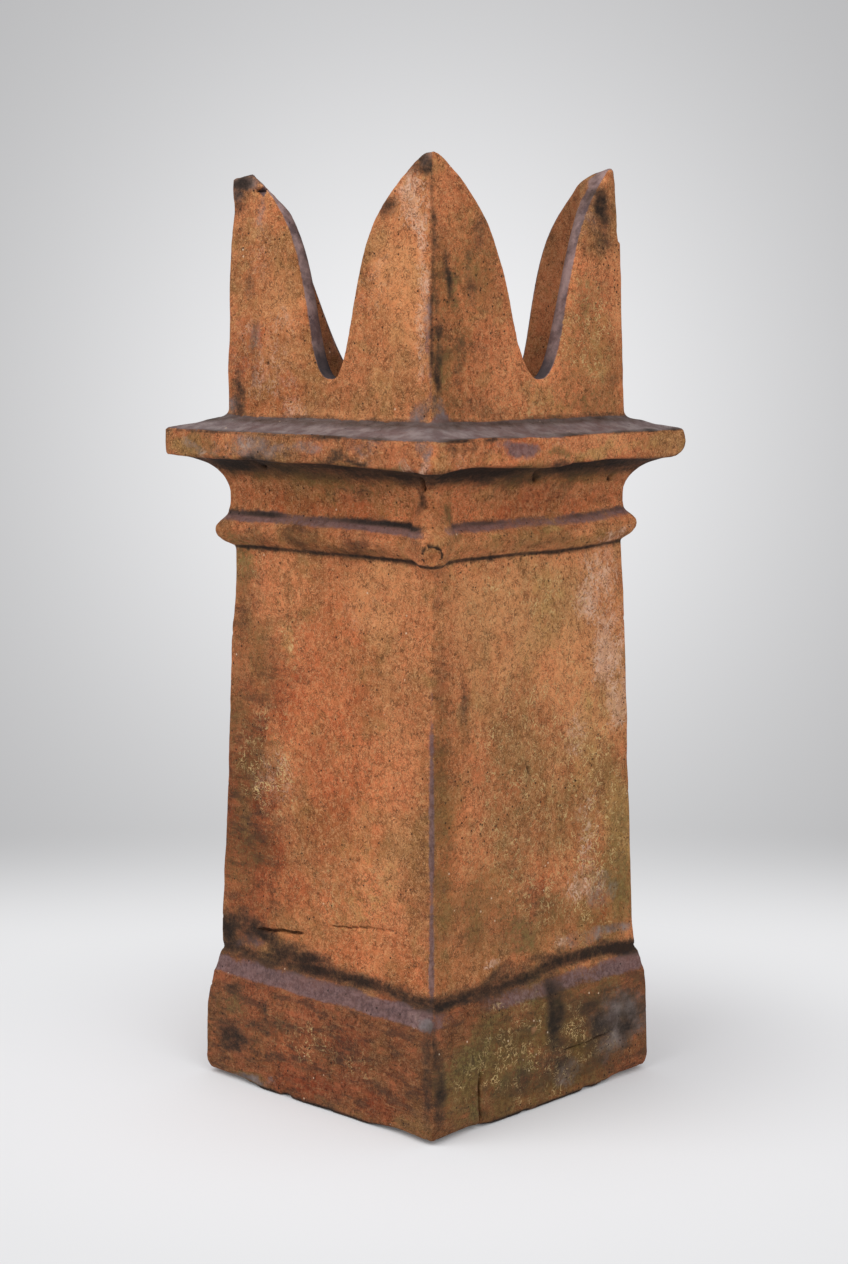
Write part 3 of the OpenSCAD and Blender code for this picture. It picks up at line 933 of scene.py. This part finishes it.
class Skin:
    """Where every point of the thinned mesh lies on the pot."""

    def __init__(self, mesh):
        self.p, self.normals = point_arrays(mesh)
        x, y, self.z = self.p.T
        axes = [side_axes(x, y, side) for side in SIDE_TURNS]
        self.side = np.stack([out for along, out in axes]).argmax(0)
        self.along = np.choose(self.side, [along for along, out in axes])
        self.spread = spread(self.p)
        self.outer = outside(self.p)
        self.level = unwarped(self.p)[:, 2]
        self.crease = self.find_creases(mesh)

    def find_creases(self, mesh):
        """How far each point lies below the mean of its neighbours, in millimetres."""
        ends = np.empty(len(mesh.edges) * 2, np.int32)
        mesh.edges.foreach_get("vertices", ends)
        a, b = ends.reshape(-1, 2).T
        count = np.bincount(ends, minlength=len(self.p))
        total = np.zeros_like(self.p)
        for axis in range(3):
            total[:, axis] = np.bincount(a, self.p[b, axis], len(self.p))
            total[:, axis] += np.bincount(b, self.p[a, axis], len(self.p))
        below = ((total / count[:, None] - self.p) * self.normals).sum(1)
        for _ in range(2):
            near = np.bincount(a, below[b], len(self.p)) + np.bincount(b, below[a], len(self.p))
            below = 0.5 * below + 0.5 * near / count
        return below

    def paint(self, name, seed):
        """All the strokes of one kind, with wavering edges."""
        u = self.along + 7 * noise(self.p, 34, seed) + 4 * noise(self.p, 12, seed + 1)
        v = self.z + 9 * noise(self.p, 38, seed + 2) + 5 * noise(self.p, 13, seed + 3)
        patchy = 0.85 + 0.45 * fbm(self.p, 26, seed + 40)
        total = np.zeros(len(self.p), np.float32)
        for side, strokes in enumerate(STROKES[name]):
            face = self.side == side
            for along, up, wide, tall, strength in strokes:
                here = face & (np.abs(u - along) < STROKE_END * wide) & (np.abs(v - up) < STROKE_END * tall)
                reach = np.hypot((u[here] - along) / wide, (v[here] - up) / tall)
                total[here] = np.maximum(total[here], strength * smoothstep(reach, STROKE_END, STROKE_CORE))
        return np.clip(total * patchy, 0, 1) * self.outer

    def masks(self):
        z, level, along, outer = self.z, self.level, self.along, self.outer
        wide = fbm(self.p, 70, 60)
        ragged = noise(self.p, (16, 16, 5), 64)
        masks = {name: self.paint(name, PAINT_SEED + PAINT_STEP * k)
                 for k, name in enumerate(STROKES) if name != "grime_and_shade"}
        # Soot at the shaft's foot, on the flange's top edge and round the facet broken off the bead; painted
        # shade in the crease under the bead, under the flange and along the foot's lower edge; dark lines in
        # the hollow above the bead and where the crown rises from the flange
        crevice = stripe(z - 4 * noise(self.p, 50, 65), SHAFT_FOOT_Z + 4, 13, 1) * (0.9 + 0.35 * wide)
        # Painted shade in the crease under the bead
        painted_shade_under_bead = stripe(level, BEAD_Z - 17, 3.0, 0.8) * (0.85 + 0.25 * wide)
        # Painted shade in the throat under the flange
        painted_shade_under_flange = smoothstep(z + ragged, NECK_Z + 14, SOFFIT_Z - 4) * (0.85 + 0.3 * wide)
        painted_shade_under_flange *= smoothstep(z, SOFFIT_Z + 14, SOFFIT_Z + 4) * smoothstep(FLANGE_HALF - self.spread, 3, 12)
        fade = np.where(self.side == 1, 0.6 * smoothstep(along, -146, -112), smoothstep(along, 146, 116))
        hollow = stripe(level, BEAD_Z + 15, 4.5, 0.8) * (0.6 + 0.7 * wide) * fade
        rim = stripe(z, FLANGE_Z - 1, 2.5, 0.8) * (self.spread > 155) * (0.45 + 0.4 * ragged)
        neck = stripe(z - 2 * ragged, FLANGE_Z + 11, 7, 1) * 0.55
        # smoothstep(z, 5, 2) is painted shade along the foot's lower edge, where it meets the floor
        soot_and_shade = np.maximum.reduce([crevice, painted_shade_under_bead, painted_shade_under_flange, smoothstep(z, 5, 2), neck, hollow, rim])
        facet = ball(self.p, (152.5, -152.5, 516), 17)
        ring = stripe(facet, 2.6, 1.4, 0.6) * smoothstep(z, BEAD_Z + 8, BEAD_Z + 2)
        # Grime on the plinth, the left of side 0 and the edge of the flange, and painted shade on the
        # underside of the flange
        low = smoothstep(z + 10 * wide, 128, 112)
        left = np.where(self.side == 0, smoothstep(along, 40, -130) * smoothstep(z, 560, 300), 0)
        # Painted shade in the cavetto under the flange
        shade = smoothstep(z + 3 * ragged, NECK_Z + 8, SOFFIT_Z - 4) * smoothstep(z, SOFFIT_Z + 4, SOFFIT_Z)
        edge = stripe(z, SOFFIT_Z + 13, 18, 12) * np.where(self.side == 1, 0.1, 0.4)
        grime_and_shade = np.maximum.reduce([0.95 * low, 0.5 * left, 0.9 * shade, edge])
        masks["grime_and_shade"] = outer * np.clip(grime_and_shade + self.paint("grime_and_shade", GRIME_AND_SHADE_SEED), 0, 1)
        # Purple kiln skin on the weathering, the flange's top, the bead and the front arris
        band = smoothstep(z + 1.5 * ragged, 99, 105) * smoothstep(z + 4 * ragged, 122, 113)
        band *= np.where(self.side == 0, 0.9 + 0.2 * wide, 0.42 + 0.6 * wide)
        top = smoothstep(self.normals[:, 2], 0.5, 0.8) * stripe(z, FLANGE_Z + 3, 14, 8)
        top *= 0.9 + 0.1 * ragged
        bead = stripe(level - ragged, BEAD_Z + 12, 7, 1.5) * (0.75 + 0.6 * wide) * fade
        front = np.exp(-(((self.p[:, 0] + self.p[:, 1]) / 3.2) ** 2)) * (self.p[:, 0] > 100)
        front *= (0.85 + 0.5 * noise(self.p, (30, 30, 26), 67)) * smoothstep(self.spread, 156, 152)
        arris = front * smoothstep(z, 480, 260) * smoothstep(z, 106, 114)
        for name, more in [
            ("soot_and_shade", np.maximum(soot_and_shade, 0.8 * front * smoothstep(z, 640, 700))),
            ("slate", np.maximum.reduce([band, top, bead, arris])), ("ash", 0.7 * top),
        ]:
            masks[name] = np.maximum(masks[name], outer * more)
        masks["soot_and_shade"] = np.maximum(masks["soot_and_shade"], ring)
        # The cut walls of the slots, and the flue
        in_wall = smoothstep(self.spread - flue_half(z), 0.5, 2.5) * smoothstep(z, 655, 668)
        depth = NECK_HALF - 5.5 * smoothstep(z, 560, 870) - self.spread
        masks["cut"] = in_wall * smoothstep(depth, 1.2, 3)
        masks["bottom"] = masks["cut"] * smoothstep(z + 8 * wide, 718, 680)
        masks["flue"] = 1 - outer
        masks["warm"] = 0.5 + 0.5 * wide
        # Dirt and painted shade in the dips of the surface
        masks["dip"] = outer * np.clip(self.crease, 0, 1)
        # Wear and painted highlight on the rises of the surface
        masks["wear_and_highlight_on_rises"] = np.clip(-self.crease, 0, 1)
        return masks


def srgb(red, green, blue):
    """A colour given in the usual 0 to 255 steps, as the light it stands for."""
    steps = [value / 255 for value in (red, green, blue)]
    return tuple(v / 12.92 if v < 0.04045 else ((v + 0.055) / 1.055) ** 2.4 for v in steps)


def clay_material():
    n = Nodes("terracotta")
    coords = n.node("TexCoord").outputs["Object"]
    broad = n.noise(coords, 14, 4, 0.6)
    middle = n.noise(coords, 60, 5, 0.65)
    close = n.noise(coords, 210, 6, 0.8)
    grain = n.noise(coords, 800, 4, 0.8)
    wash = n.noise(coords, 32, 6, 0.7, 0.4)
    streaks = n.noise(coords, 60, 5, 0.65, stretch=(1, 1, 0.2))
    layers = n.noise(coords, 26, 5, 0.7, stretch=(1, 1, 3.5))
    tear = n.math("ADD", n.math("MULTIPLY", middle, 0.45), n.math("MULTIPLY", close, 0.55))

    def times(a, b):
        return n.math("MULTIPLY", a, b)

    def mottle(texture, low, high, dark, pale):
        return n.mix(n.between(texture, low, high), srgb(*dark), srgb(*pale))

    def coat(mask, strength, tint, blend="MIX"):
        """Lays one tint, or a mottle, over the colour so far."""
        nonlocal color
        tint = srgb(*tint) if isinstance(tint, tuple) else tint
        color = n.mix(times(mask, strength), color, tint, blend)

    def broken(name, low=0.2, high=0.75, amount=2.2, texture=tear):
        """A painted mask whose edge is torn into flecks, and whose middle is uneven."""
        mask = n.attribute(name)
        torn = n.math("ADD", mask, times(n.math("SUBTRACT", texture, 0.5), amount))
        present = n.between(mask, 0.03, 0.3)
        return times(n.between(torn, low, high), present)

    def lines(scale, width, low, high, seed):
        """Short curled hairs: the middle contour of a twisted noise, kept only in patches."""
        offset = n.node("Mapping", Vector=coords, Location=(seed, seed * 0.7, 0)).outputs[0]
        curl = n.noise(offset, scale, 1, 0.5, 1.8)
        contour = n.math("ABSOLUTE", n.math("SUBTRACT", curl, 0.5))
        patch = n.between(n.noise(offset, scale * 0.8, 2, 0.5), low, high)
        return times(n.between(contour, width, width * 0.3), patch)

    def specks(scale, size, share, seed):
        """Round dots, one to a cell, in that share of the cells."""
        offset = n.node("Mapping", Vector=coords, Location=(seed, 0, seed)).outputs[0]
        cells = n.node("TexVoronoi", Vector=offset, Scale=scale)
        chosen = n.node("SeparateColor", Color=cells.outputs["Color"]).outputs[0]
        dot = n.between(cells.outputs["Distance"], size, size * 0.5)
        return times(dot, n.math("LESS_THAN", chosen, share))

    # Fired clay: orange to brown, clouded, stippled and streaked
    warm = n.math("ADD", times(n.attribute("warm"), 0.45), times(middle, 0.55))
    rasp = n.math("ADD", 0.35, times(n.between(n.noise(coords, 19, 3, 0.6), 0.4, 0.6), 0.65))
    color = mottle(warm, 0.32, 0.66, (152, 104, 60), (220, 132, 84))
    coat(n.between(broad, 0.42, 0.62), 0.55, (200, 112, 70))
    coat(n.between(streaks, 0.48, 0.72), 0.4, (142, 92, 54))
    coat(times(n.between(close, 0.47, 0.64), rasp), 0.62, (126, 76, 44))
    coat(n.between(close, 0.46, 0.3), 0.55, (230, 154, 100))
    coat(n.between(grain, 0.52, 0.68), 0.55, (228, 172, 120))
    coat(times(n.between(grain, 0.48, 0.32), rasp), 0.8, (88, 52, 28))
    coat(n.between(wash, 0.5, 0.68), 0.5, (166, 128, 76))
    coat(n.between(wash, 0.46, 0.3), 0.45, (192, 108, 68))
    # Paler fresh clay, which on side 1's upper shaft is also a painted highlight
    coat(broken("fresh_clay_and_highlight", 0.1, 1.0), 0.5, (228, 162, 106))
    coat(broken("red", 0.1, 1.0, 2.0), 0.5, (160, 72, 42))
    coat(n.attribute("red"), 1.0, (252, 218, 200), "MULTIPLY")
    coat(broken("ochre"), 0.58, (180, 144, 84))
    coat(broken("salt", 0.4, 1.0, 2.8), 0.6, (220, 174, 148))
    # Short hairs of scale and root marks, dark and pale
    dark_hair = lines(150, 0.05, 0.42, 0.54, 3)
    coat(lines(260, 0.08, 0.38, 0.5, 11), 0.5, (104, 60, 32))
    coat(lines(190, 0.06, 0.4, 0.5, 17), 0.42, (224, 170, 118))
    coat(dark_hair, 0.62, (76, 44, 24))
    # The grime mask, which also holds painted shade under the flange
    grime_and_shade = n.attribute("grime_and_shade")
    scratch = n.between(n.noise(coords, 34, 3, 0.6, 0.6, stretch=(1, 1, 14)), 0.62, 0.68)
    coat(times(scratch, n.between(grime_and_shade, 0.5, 0.9)), 0.5, (204, 156, 104))
    # Grime and painted shade darken the clay unevenly
    coat(broken("grime_and_shade", 0.1, 1.2, 1.6), 1.0, (176, 170, 176), "MULTIPLY")
    coat(times(n.between(layers, 0.5, 0.62), grime_and_shade), 0.66, (72, 48, 36))
    coat(times(n.between(layers, 0.46, 0.34), grime_and_shade), 0.35, (186, 104, 68))
    coat(broken("olive", 0.0, 1.0, 1.8), 0.55, mottle(close, 0.4, 0.62, (88, 70, 40), (150, 122, 76)))
    coat(n.attribute("olive"), 1.0, (216, 222, 200), "MULTIPLY")
    pale = times(lines(120, 0.04, 0.44, 0.58, 8), n.between(n.attribute("scrawl"), 0.1, 0.8))
    coat(pale, 0.85, (212, 180, 124))
    salty = times(lines(95, 0.06, 0.4, 0.54, 5), n.between(n.attribute("salt"), 0.2, 0.7))
    coat(salty, 0.6, (224, 186, 160))
    # Growths, the dense purple skin of the kiln, cinders, cut walls, and soot with painted shade under the
    # bead, under the flange and along the foot
    coat(broken("algae", 0.1, 1.0), 0.66, mottle(close, 0.4, 0.64, (62, 56, 36), (122, 108, 62)))
    coat(broken("slate", 0.1, 0.6, 1.5), 0.85, mottle(close, 0.36, 0.64, (80, 61, 63), (130, 102, 101)))
    coat(broken("ash", 0.1, 0.8, 1.4), 0.8, mottle(middle, 0.34, 0.66, (88, 80, 82), (138, 128, 126)))
    coat(broken("cut", 0.1, 0.6, 0.8), 0.9, mottle(middle, 0.35, 0.65, (88, 74, 78), (154, 130, 128)))
    smudge = n.math("ADD", times(layers, 0.5), times(close, 0.5))
    # Soot, with painted shade under the bead, under the flange and along the foot
    coat(broken("soot_and_shade", 0.0, 0.8, 1.6, smudge), 0.78, (62, 47, 36))
    coat(broken("soot_and_shade", 0.5, 1.1, 2.2, smudge), 0.85, (26, 21, 18))
    coat(n.attribute("flue"), 0.4, (70, 46, 32))
    coat(broken("bottom", 0.1, 1.0, 1.2), 0.85, (44, 42, 46))
    # Dirt and painted shade darken the dips
    coat(n.between(n.attribute("dip"), 0.1, 0.5), 0.8, (44, 32, 26))
    # Wear and painted highlight lighten the rises
    coat(n.between(n.attribute("wear_and_highlight_on_rises"), 0.25, 0.6), 0.3, (200, 140, 104))
    pores = specks(170, 0.22, 0.16, 0)
    coat(pores, 0.85, (40, 28, 22))
    coat(specks(80, 0.1, 0.1, 4), 0.7, (226, 200, 170))

    height = n.math("ADD", times(close, 0.8), times(grain, 0.4))
    height = n.math("SUBTRACT", height, times(pores, 0.5))
    height = n.math("SUBTRACT", height, times(dark_hair, 0.15))
    bump = n.node("Bump", Strength=0.9, Distance=0.0012, Height=height).outputs[0]
    smooth = times(n.attribute("slate"), 0.25)
    rough = n.math("SUBTRACT", n.math("ADD", 0.74, times(close, 0.25)), smooth)
    shader = n.node("BsdfPrincipled", Base_Color=color, Roughness=rough, Normal=bump,
                    Specular_IOR_Level=0.2)
    n.node("OutputMaterial", Surface=shader.outputs[0])
    return n.material


place_camera()
build_bowl()
light_stage()
pot_obj = sculpt()
for name, values in Skin(pot_obj.data).masks().items():
    store(pot_obj.data, name, values)
pot_obj.data.materials.clear()
pot_obj.data.materials.append(clay_material())
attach(pot_obj, "root")
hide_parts(NODE)
